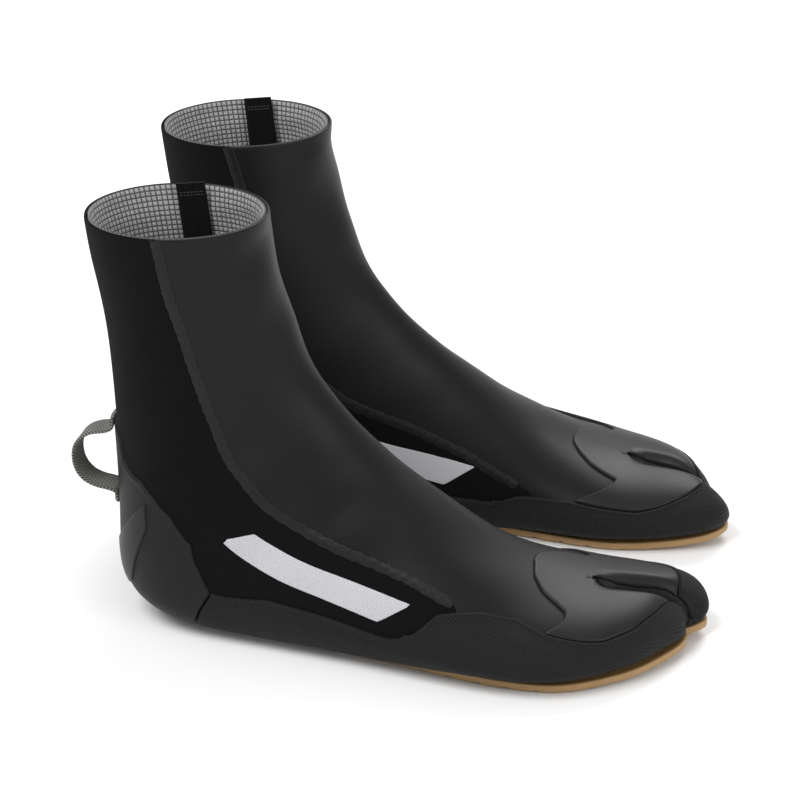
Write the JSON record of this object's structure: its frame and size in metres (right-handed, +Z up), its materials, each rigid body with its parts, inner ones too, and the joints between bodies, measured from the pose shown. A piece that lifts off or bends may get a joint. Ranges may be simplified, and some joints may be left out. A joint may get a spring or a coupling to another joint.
{
  "type": "split-toe neoprene boots",
  "caption": "Pair of ankle-high neoprene water boots with a split toe, rubber rand and toe cap, waffle lining, thin gum outsole, pull loop at the heel and a pull tab inside the cuff",
  "frame": {"origin": "centre of the pair's bounding box, on the ground", "axes": "+X toward the toes, +Y toward the left boot, +Z up"},
  "size_m": [0.3044, 0.2538, 0.2105],
  "materials": {
    "gum_rubber": "satin",
    "smooth_neoprene": "satin",
    "jersey_neoprene": "matte knit",
    "mesh_rubber": "fine mesh, matte",
    "smooth_rubber": "satin",
    "black_rubber": "matte",
    "pale_thread": "thread",
    "pale_film": "printed film",
    "thermal_lining": "knitted pile in a grid",
    "insole_foam": "foam",
    "grey_webbing": "woven",
    "black_thread": "thread",
    "black_webbing": "woven"
  },
  "bodies": {
    "right_boot": {"right_outsole": "gum_rubber", "right_front_panel": "smooth_neoprene", "right_rear_panel": "jersey_neoprene", "right_sole_panel": "jersey_neoprene", "right_rand": "mesh_rubber", "right_toe_cap": "smooth_rubber", "right_heel_counter": "mesh_rubber", "right_midsole": "mesh_rubber", "right_heel_strip": "smooth_rubber", "right_toe_gusset": "black_rubber", "right_slit_tack": "pale_thread", "right_seam_tape_lateral": "black_rubber", "right_flash_lateral": "pale_film", "right_seam_tape_medial": "black_rubber", "right_flash_medial": "pale_film", "right_lining": "thermal_lining", "right_footbed": "insole_foam", "right_heel_loop": "grey_webbing", "right_loop_tack_top": "black_thread", "right_loop_tack_low": "black_thread", "right_tab_anchor": "black_webbing", "right_tab_stitch": "pale_thread"},
    "right_tab": {"right_inner_tab": "black_webbing"},
    "left_boot": {"left_outsole": "gum_rubber", "left_front_panel": "smooth_neoprene", "left_rear_panel": "jersey_neoprene", "left_sole_panel": "jersey_neoprene", "left_rand": "mesh_rubber", "left_toe_cap": "smooth_rubber", "left_heel_counter": "mesh_rubber", "left_midsole": "mesh_rubber", "left_heel_strip": "smooth_rubber", "left_toe_gusset": "black_rubber", "left_slit_tack": "pale_thread", "left_seam_tape_lateral": "black_rubber", "left_flash_lateral": "pale_film", "left_seam_tape_medial": "black_rubber", "left_flash_medial": "pale_film", "left_lining": "thermal_lining", "left_footbed": "insole_foam", "left_heel_loop": "grey_webbing", "left_loop_tack_top": "black_thread", "left_loop_tack_low": "black_thread", "left_tab_anchor": "black_webbing", "left_tab_stitch": "pale_thread"},
    "left_tab": {"left_inner_tab": "black_webbing"}
  },
  "joints": [
    {"name": "right_tab_hinge", "type": "hinge", "parent": "right_boot", "child": "right_tab", "pos_m": [-0.095, -0.0426, 0.19943], "axis": [-0.9925, -0.0631, -0.1049], "range_deg": [0, 150]},
    {"name": "left_tab_hinge", "type": "hinge", "parent": "left_boot", "child": "left_tab", "pos_m": [-0.0975, 0.08384, 0.19989], "axis": [-0.9917, -0.0834, -0.0979], "range_deg": [0, 150]},
    {"name": "left_boot_lift", "type": "slide", "parent": "right_boot", "child": "left_boot", "axis": [0, 0, 1], "range_m": [0, 0.25]}
  ]
}
